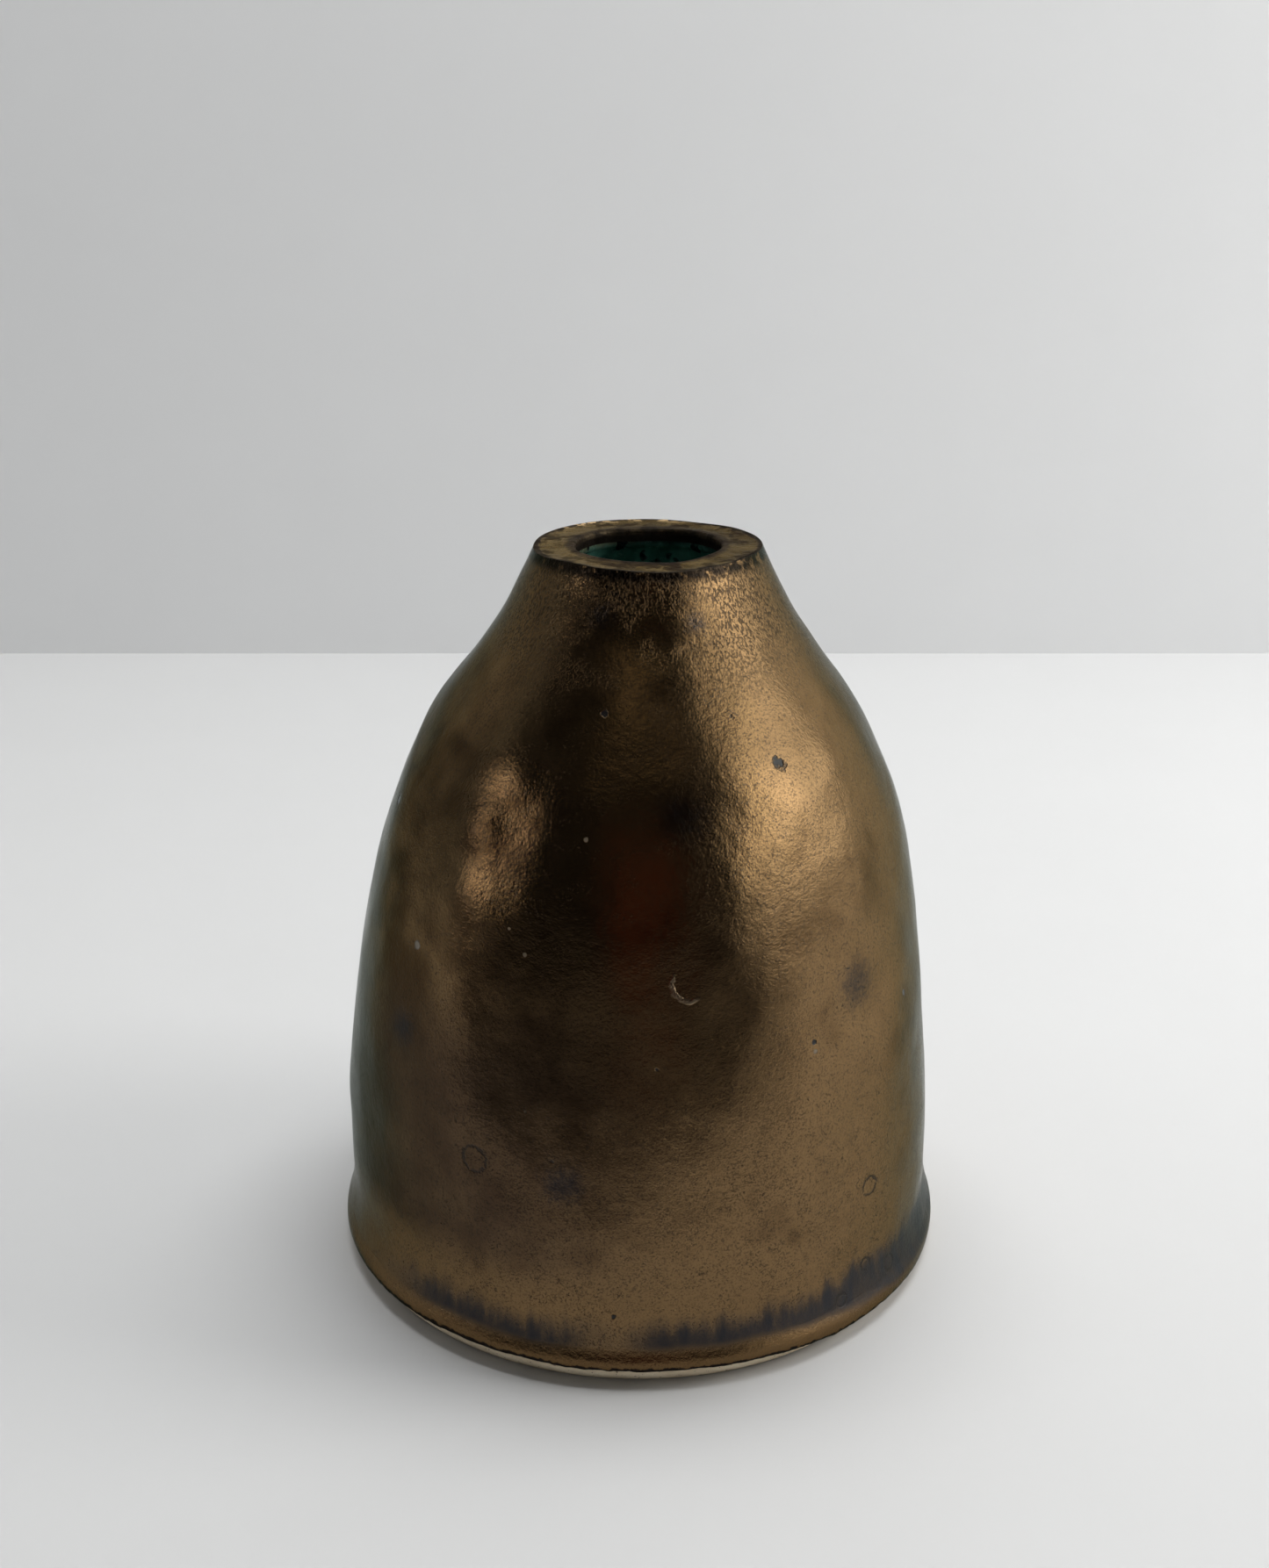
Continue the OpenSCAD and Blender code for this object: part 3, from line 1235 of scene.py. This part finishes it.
@dataclass
class Layer:
    """One layer of the vase. Its subclasses say how it is thrown and finished."""

    form: Form
    node: str = ""
    slot: str = ""
    levels: int = 2

    @property
    def piece_name(self) -> str:
        """Return the name of the finished piece."""
        return f"{self.node}_shaped"

    def cage(self) -> bpy.types.Object:
        """Throw the coarse cage."""
        raise NotImplementedError

    def finish(self, piece: bpy.types.Object) -> None:
        """Smooth the shaped cage."""
        Bench.smooth(piece, self.levels)
        Bench.shade(piece)

    def material(self) -> bpy.types.Material:
        """Mix the layer's finish."""
        raise NotImplementedError

    def dress(self, piece: bpy.types.Object) -> None:
        """Give the piece its finish and its place on the frame.

        Args:
            piece: The finished mesh.
        """
        piece.data.materials.clear()
        piece.data.materials.append(self.material())
        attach(piece, BODY)
        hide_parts(self.node)


@dataclass
class ClayFloor(Layer):
    """The slab underfoot, with its bare bevelled edge and hollowed underside."""

    node: str = "clay_floor"
    slot: str = "bare_clay"
    bevel_soft: float = 0.12
    inset: Sag = Sag(78, -1.5, 55)

    def cage(self) -> bpy.types.Object:
        """Throw the slab from the middle of its underside round to the middle of its top.

        Returns:
            The cage.
        """
        f = self.form
        under, ledge = f.recess_r, f.recess_r + f.recess_depth
        side = f.strip(f.bronze, f.glaze_line, f.floor_top, 0.6)
        outline = [(r, f.recess_depth) for r in (3, 14, 25, under - 1.5, under)]
        outline += [(under + 0.4, f.recess_depth - 0.25), (ledge, 0.15), (ledge + 0.4, 0)]
        outline += [(ledge + 2, 0), (f.foot_r - 2, 0), (f.foot_r - self.bevel_soft, 0)]
        outline += [(f.foot_r + 0.1, 0.2), (f.foot_r + 0.9, 1.2)]
        outline += side
        outline += [(r, f.floor_top) for r in (side[-1][0] - 1, 30, 16, 3)]
        piece = Bench.throw(self.node, outline, Ends.FILLED)
        Bench.crease(piece, [side[-1]])
        self._set_in(piece)
        return piece

    def _set_in(self, cage: bpy.types.Object) -> None:
        """Set the foot ring in on one side, where the bevel was trimmed deeper.

        Args:
            cage: The slab's cage.
        """
        edge = (self.form.foot_r - 1) * MM
        low = [v for v in cage.data.vertices if v.co.z < 0.3 * MM]
        ring = {v.index for v in low if math.hypot(v.co.x, v.co.y) > edge}
        Bench.take(cage)
        for bearing, spoke in Bench.spokes(cage).items():
            push = self.inset.lift * self.inset.share(bearing) * MM
            if abs(push) > LEAST_MOVE:
                turn = math.radians(bearing)
                Bench.shift(cage, spoke & ring, (math.sin(turn) * push, -math.cos(turn) * push, 0))

    def material(self) -> bpy.types.Material:
        """Mix the bare clay."""
        return ClayFinish(self.form).make("bare_clay")


@dataclass
class ClayWall(Layer):
    """The wall, shoulder and neck, from the slab to the mouth."""

    node: str = "clay_wall"
    slot: str = "bare_clay"
    levels: int = 1

    def cage(self) -> bpy.types.Object:
        """Throw the wall up its outside, over the lip and down its inside.

        Returns:
            The cage.
        """
        f = self.form
        inside = f.bronze + f.clay
        mouth = f.mouth_r + f.lip_coat
        bottom = f.floor_top + f.heel
        outer = f.strip(f.bronze, f.floor_top, f.clay_top, 2.6)
        edge = arc((mouth + f.mouth_edge, f.clay_top - f.mouth_edge), f.mouth_edge, 90, 180, 3)
        inner = f.strip(inside, bottom, f.mouth_bottom - f.mouth_bevel, 2.6)[::-1]
        heel_r = f.radius(inside, bottom)
        heel = arc((heel_r - f.heel, bottom), f.heel, 0, -90, 6)[1:]
        outline = outer + [(f.radius(f.bronze, f.clay_top) - 2, f.clay_top)] + edge
        outline += [(mouth, f.mouth_bottom)] + inner + heel
        piece = Bench.throw(self.node, outline, Ends.JOINED)
        Bench.crease(piece, [outer[0], outer[-1], heel[-1]])
        return piece

    def material(self) -> bpy.types.Material:
        """Mix the bare clay."""
        return ClayFinish(self.form).make("wall_clay")


@dataclass
class OuterGlaze(Layer):
    """The bronze coat on the outside, from the roll up to the lip's sharp edge."""

    node: str = "outer_glaze"
    slot: str = "bronze_glaze"
    ripples: tuple[Point, ...] = ((13.0, 0.30), (4.5, 0.035))
    fade: float = 4.0
    clearance: float = 0.1

    def cage(self) -> bpy.types.Object:
        """Throw the coat's outer skin as an open sheet."""
        f = self.form
        return Bench.throw(self.node, f.strip(0, f.roll_top, f.height, 2.65), Ends.OPEN)

    def finish(self, piece: bpy.types.Object) -> None:
        """Smooth the skin, ripple it, and give it its thickness.

        Args:
            piece: The shaped sheet.
        """
        f = self.form
        Bench.smooth(piece, self.levels)
        heights = [vertex.co.z / MM for vertex in piece.data.vertices]
        shares = [min(1.0, (z - f.roll_top) / self.fade, (f.height - z) / self.fade) for z in heights]
        Bench.ruffle(piece, [max(0.0, share) for share in shares], "NORMAL", self.ripples)
        thickness = (f.bronze - self.clearance) * MM
        Bench.finish_with(piece, "SOLIDIFY", thickness=thickness, offset=-1.0, use_even_offset=True)
        Bench.shade(piece)

    def material(self) -> bpy.types.Material:
        """Mix the bronze glaze."""
        return BronzeFinish(self.form).make("bronze_glaze")


@dataclass
class GlazeRoll(Layer):
    """The thick roll of glaze at the foot, with its ragged and wandering lower edge."""

    node: str = "glaze_roll"
    slot: str = "gold_glaze"
    levels: int = 3
    bulge: float = 0.14
    hem: float = 0.45
    edge_reach: float = 1.6
    drips: tuple[Point, ...] = ((4.0, 0.15), (1.1, 0.16))
    sags: tuple[Sag, ...] = (
        Sag(-60, 0.65, 26),
        Sag(-32, 0.85, 26),
        Sag(0, 0.38, 26),
        Sag(18, 0.05, 12),
        Sag(40, -0.45, 16),
        Sag(64, -0.55, 18),
        Sag(110, 0.40, 20),
        Sag(160, -0.35, 20),
        Sag(215, 0.50, 18),
        Sag(260, -0.30, 16),
    )

    def cage(self) -> bpy.types.Object:
        """Throw the roll round its section.

        Returns:
            The cage.
        """
        f = self.form
        rise = f.roll_top - f.glaze_line
        steps = 6
        face = []
        for i in range(steps + 1):
            share = i / steps
            z = f.glaze_line + self.hem + (rise - self.hem) * share
            swell = math.sin(math.pi * share**0.7) ** 2
            face.append((f.radius(0, z) + self.bulge * swell, z))
        back = f.strip(f.bronze, f.glaze_line + 0.05, f.roll_top, 1.65)[::-1]
        under = [(f.base_r - 0.42, f.glaze_line), (f.base_r - 0.16, f.glaze_line + 0.15)]
        outline = under + face + back
        piece = Bench.throw(self.node, outline, Ends.JOINED)
        Bench.crease(piece, [face[-1], back[0]])
        self._sag(piece)
        return piece

    def _sag(self, cage: bpy.types.Object) -> None:
        """Let the lower edge hang or shrink back, one column of the cage after another.

        Args:
            cage: The roll's cage.
        """
        line = self.form.glaze_line
        Bench.take(cage)
        for bearing, spoke in Bench.spokes(cage).items():
            lift = sum(sag.lift * sag.share(bearing) for sag in self.sags) * MM
            if abs(lift) < LEAST_MOVE:
                continue
            for top, share in ((line + 0.9, 0.45), (line + 0.4, 0.55)):
                low = {index for index in spoke if cage.data.vertices[index].co.z < top * MM}
                Bench.shift(cage, low, (0, 0, lift * share))

    def finish(self, piece: bpy.types.Object) -> None:
        """Smooth the roll, mark how near its lower edge is, and let that edge run ragged.

        Args:
            piece: The shaped cage.
        """
        f = self.form
        Bench.smooth(piece, self.levels)
        spots = [round(math.degrees(math.atan2(v.co.x, v.co.y))) for v in piece.data.vertices]
        heights = [vertex.co.z / MM for vertex in piece.data.vertices]
        lowest = dict.fromkeys(spots, f.roll_top)
        for spot, z in zip(spots, heights):
            lowest[spot] = min(lowest[spot], z)
        drops = [(z - lowest[spot]) / self.edge_reach for spot, z in zip(spots, heights)]
        shares = [max(0.0, min(1.0, 1 - drop)) for drop in drops]
        piece.data.attributes.new(NEAR_EDGE, "FLOAT", "POINT").data.foreach_set("value", shares)
        Bench.ruffle(piece, shares, "Z", self.drips)
        Bench.shade(piece, 60)

    def material(self) -> bpy.types.Material:
        """Mix the same glaze as above the roll, so that its bands run on."""
        return BronzeFinish(self.form).make("roll_glaze")


@dataclass
class LipGlaze(Layer):
    """The coat on the flat lip and over its edge into the mouth."""

    node: str = "lip_glaze"
    slot: str = "lip_glaze"
    dish: float = 0.18

    def cage(self) -> bpy.types.Object:
        """Throw the coat round its section, with its top slightly dished.

        Returns:
            The cage.
        """
        f = self.form
        clay_mouth = f.mouth_r + f.lip_coat
        width = f.lip_r - f.mouth_r - f.mouth_edge
        steps = 7
        top = []
        for i in range(steps):
            share = i / steps
            sag = self.dish * math.sin(math.pi * share)
            top.append((f.lip_r - width * share, f.height - sag))
        edge = arc((f.mouth_r + f.mouth_edge, f.height - f.mouth_edge), f.mouth_edge, 90, 180, 4)
        wall = [(f.mouth_r, f.seam + 0.35), (f.mouth_r, f.seam), (clay_mouth, f.seam)]
        back = arc((clay_mouth + f.mouth_edge, f.clay_top - f.mouth_edge), f.mouth_edge, 180, 90, 3)
        corner = (f.radius(f.bronze, f.clay_top), f.clay_top)
        outline = top + edge + wall + back + [corner]
        piece = Bench.throw(self.node, outline, Ends.JOINED)
        Bench.crease(piece, [top[0], (f.mouth_r, f.seam), (clay_mouth, f.seam), corner])
        return piece

    def material(self) -> bpy.types.Material:
        """Mix the lip's glaze."""
        return LipFinish(self.form).make("lip_glaze")


@dataclass
class InnerGlaze(Layer):
    """The green coat inside, from the mouth down the wall and over the floor."""

    node: str = "inner_glaze"
    slot: str = "green_glaze"
    levels: int = 1

    def cage(self) -> bpy.types.Object:
        """Throw the coat from the middle of its face up to the mouth and back down its rear.

        Returns:
            The cage.
        """
        f = self.form
        face = f.bronze + f.clay + f.green
        rear = f.bronze + f.clay
        bottom = f.floor_top + f.heel
        clay_mouth = f.mouth_r + f.lip_coat
        top = f.mouth_bottom - f.mouth_bevel
        small = f.heel - f.green
        inner_heel = arc((f.radius(face, bottom) - small, bottom), small, -90, 0, 5)
        outer_heel = arc((f.radius(rear, bottom) - f.heel, bottom), f.heel, 0, -90, 5)
        floor_z = f.floor_top + f.green
        outline = [(3, floor_z), (16, floor_z)] + inner_heel[:-1] + f.strip(face, bottom, top, 2.6)
        outline += [(f.mouth_r, f.mouth_bottom), (f.mouth_r, f.seam), (clay_mouth, f.seam)]
        outline += [(clay_mouth, f.mouth_bottom)] + f.strip(rear, bottom, top, 2.6)[::-1]
        outline += outer_heel[1:] + [(16, f.floor_top), (3, f.floor_top)]
        piece = Bench.throw(self.node, outline, Ends.FILLED)
        Bench.crease(piece, [(f.mouth_r, f.seam), (clay_mouth, f.seam)])
        return piece

    def material(self) -> bpy.types.Material:
        """Mix the green glaze."""
        return GreenFinish(self.form).make("green_glaze")


# ---------------------------------------------------------------------------------------------
# The studio
# ---------------------------------------------------------------------------------------------


@dataclass(frozen=True)
class Lamp:
    """A soft panel of light: its place, aim and size in metres, its power and its colour."""

    name: str
    place: tuple[float, float, float]
    aim: tuple[float, float, float]
    size: tuple[float, float]
    power: float
    colour: tuple[float, float, float] = (1.0, 1.0, 1.0)


@dataclass(frozen=True)
class Glow:
    """A soft patch of the room: degrees right of the front and up, half its size, and its light."""

    bearing: float
    rise: float
    half: tuple[float, float]
    soft: tuple[float, float]
    light: tuple[float, float, float]


LAMPS = (
    Lamp("top_soft", (0.06, 0.20, 0.90), (0, 0.06, 0), (0.75, 0.50), 9.8, (1.0, 1.0, 0.99)),
    Lamp("left_fill", (-0.60, 0.10, 0.42), (-0.05, 0, 0), (0.40, 0.40), 0.35),
    Lamp("right_soft", (0.70, 0.02, 0.42), (0.35, 0.12, 0), (0.35, 0.35), 3.6, (1.0, 0.98, 0.95)),
)
GLOWS = (
    Glow(100, 29, (51, 16), (7, 14), (2.5, 2.5, 2.45)),
    Glow(100, 0, (50, 8), (8, 12), (1.05, 1.05, 1.02)),
    Glow(70, 22, (8, 4), (11, 9), (2.4, 2.3, 2.15)),
    Glow(155, 10, (28, 30), (22, 20), (2.5, 2.65, 2.8)),
    Glow(-75, 14, (1, 4), (3, 7), (9.4, 9.0, 8.8)),
    Glow(-127, 12, (34, 22), (16, 14), (0.25, 0.27, 0.28)),
    Glow(2, 8, (8, 12), (7, 10), (0.10, 0.022, 0.008)),
    Glow(-8, 57, (15, 1), (9, 3), (0.9, 0.80, 0.58)),
    Glow(125, 14, (16, 8), (12, 10), (1.1, 1.15, 1.2)),
)


@dataclass
class Studio:
    """The camera, the pale floor and wall, the soft lights and the room's dim surroundings.

    The floor's reflections darken from shade_line, a y in mm, over shade_fade mm to the front.
    The world's glows are seen in reflections only, and ambient lights the rest.
    """

    eye: tuple[float, float, float] = (-0.0007, -0.2496, 0.1637)
    pitch: float = 20.6
    lens: float = 42.73
    sensor: float = 36.0
    wall_y: float = 0.30
    wall_half: float = 0.70
    floor_reach: float = 0.60
    half_width: float = 1.2
    shade_line: float = -90.0
    shade_slope: float = 0.15
    shade_fade: float = 38.0
    shade_depth: float = 0.80
    floor_colour: Colour = rgb(0.575, 0.58, 0.585)
    wall_colour: Colour = rgb(0.84, 0.85, 0.86)
    gloom: tuple[float, float, float] = (0.003, 0.003, 0.003)
    ambient: Colour = rgb(0.10, 0.10, 0.10)
    background: Colour = rgb(0.62, 0.65, 0.64)

    def build(self) -> None:
        """Set up the whole studio."""
        self._camera()
        self._floor()
        self._wall()
        self._lights()
        self._room()

    def _camera(self) -> None:
        """Place the camera in front of the vase, looking down at it."""
        Bench.clear()
        bpy.ops.object.camera_add(location=self.eye, rotation=(math.radians(90 - self.pitch), 0, 0))
        camera = bpy.context.object
        camera.name = "camera"
        camera.data.lens = self.lens
        camera.data.sensor_width = self.sensor
        camera.data.clip_start = 0.01
        bpy.context.scene.camera = camera

    def _floor(self) -> None:
        """Lay the pale table top, soft and almost even."""
        Bench.clear()
        bpy.ops.mesh.primitive_grid_add(x_subdivisions=8, y_subdivisions=8, size=2, location=(0, 0, 0))
        floor = bpy.context.object
        floor.name = "floor"
        floor.scale = (self.half_width, 0.5 * (self.wall_y + self.floor_reach), 1)
        floor.location.y = 0.5 * (self.wall_y - self.floor_reach)
        bpy.ops.object.transform_apply(location=True, rotation=True, scale=True)
        floor.data.materials.append(self._plain("table_top", self.floor_colour, 0.55, True))

    def _wall(self) -> None:
        """Stand the pale wall behind the table."""
        Bench.clear()
        bpy.ops.mesh.primitive_plane_add(size=2, location=(0, 0, 0), rotation=(math.radians(90), 0, 0))
        wall = bpy.context.object
        wall.name = "wall"
        wall.scale = (self.half_width, self.wall_half, 1)
        wall.location = (0, self.wall_y, self.wall_half)
        bpy.ops.object.transform_apply(location=True, rotation=True, scale=True)
        wall.data.materials.append(self._plain("painted_wall", self.wall_colour, 0.7, False))

    def _plain(self, name: str, colour: Colour, rough: float, shaded: bool) -> bpy.types.Material:
        """Mix a plain, faintly mottled paint for the studio.

        Args:
            name: Name of the material.
            colour: Its colour.
            rough: Its roughness.
            shaded: Whether its reflections darken towards the front.

        Returns:
            The material.
        """
        g = Graph(bpy.data.materials.new(name))
        where = g.place()
        x, y, _ = g.parts(where)
        mottle = g.noise(40, where, 3)
        light = 0.985 + mottle * 0.03
        if shaded:
            line = y + x * self.shade_slope
            front = line.rise(self.shade_line, self.shade_line - self.shade_fade)
            mirrored = g.wire(g.node("ShaderNodeLightPath"), "Is Glossy Ray")
            light = light * (1 - front * mirrored * self.shade_depth)
        paint = g.shade(colour[:3], light)
        return g.surface({"Roughness": rough, "Specular IOR Level": 0.3}, {"Base Color": paint})

    @staticmethod
    def _lights() -> None:
        """Hang the soft panels, hidden from the camera."""
        for lamp in LAMPS:
            Bench.clear()
            bpy.ops.object.light_add(type="AREA", location=lamp.place)
            made = bpy.context.object
            made.name = lamp.name
            made.data.shape = "RECTANGLE"
            made.data.size, made.data.size_y = lamp.size
            made.data.energy = lamp.power
            made.data.color = lamp.colour
            aim = Vector(lamp.aim) - Vector(lamp.place)
            made.rotation_euler = aim.to_track_quat("-Z", "Y").to_euler()
            made.visible_camera = False
            made.visible_glossy = False

    def _room(self) -> None:
        """Surround the vase with a dim room, its windows, and the dark space behind the camera."""
        world = bpy.data.worlds.new("room")
        bpy.context.scene.world = world
        g = Graph(world)
        x, y, z = g.parts(g.node("ShaderNodeTexCoord").outputs["Generated"])
        round_angle = x.bearing(-1 * y).degrees()
        up_angle = z.arcsine().degrees()
        light = self.gloom
        for glow in GLOWS:
            patch: Feed = glow.light
            offs = (abs(round_angle - glow.bearing), abs(up_angle - glow.rise))
            for off, half, soft in zip(offs, glow.half, glow.soft):
                patch = g.shade(patch, (half + soft - off).rise(0, soft))
            settings = {"operation": "ADD"}
            light = g.node("ShaderNodeVectorMath", settings, {0: light, 1: patch}).outputs[0]
        ray = g.node("ShaderNodeLightPath")
        light = g.blend(ray.outputs["Is Glossy Ray"], self.ambient, light)
        light = g.blend(ray.outputs["Is Camera Ray"], light, self.background)
        shader = g.node("ShaderNodeBackground", None, {"Color": light, "Strength": 1.0})
        g.node("ShaderNodeOutputWorld", None, {"Surface": shader.outputs[0]})


def main() -> None:
    """Build the vase and its studio, and report each piece."""
    logging.basicConfig(level=logging.INFO, format="%(name)s: %(message)s")
    bpy.context.scene.view_settings.view_transform = "Standard"
    form = Form.from_frame()
    Studio().build()
    LOG.info("studio set up")
    kinds = (OuterGlaze, GlazeRoll, LipGlaze, InnerGlaze, ClayFloor, ClayWall)
    layers = {layer.node: layer for layer in (kind(form) for kind in kinds)}
    cages = {node: layer.cage() for node, layer in layers.items()}
    shaped = Shaping(form).work(cages)
    for node, layer in layers.items():
        piece = shaped[node]
        piece.name = layer.piece_name
        layer.finish(piece)
        layer.dress(piece)
        LOG.info("%s: %d faces", piece.name, len(piece.data.polygons))
    Bench.clear()


if __name__ == "__main__":
    main()
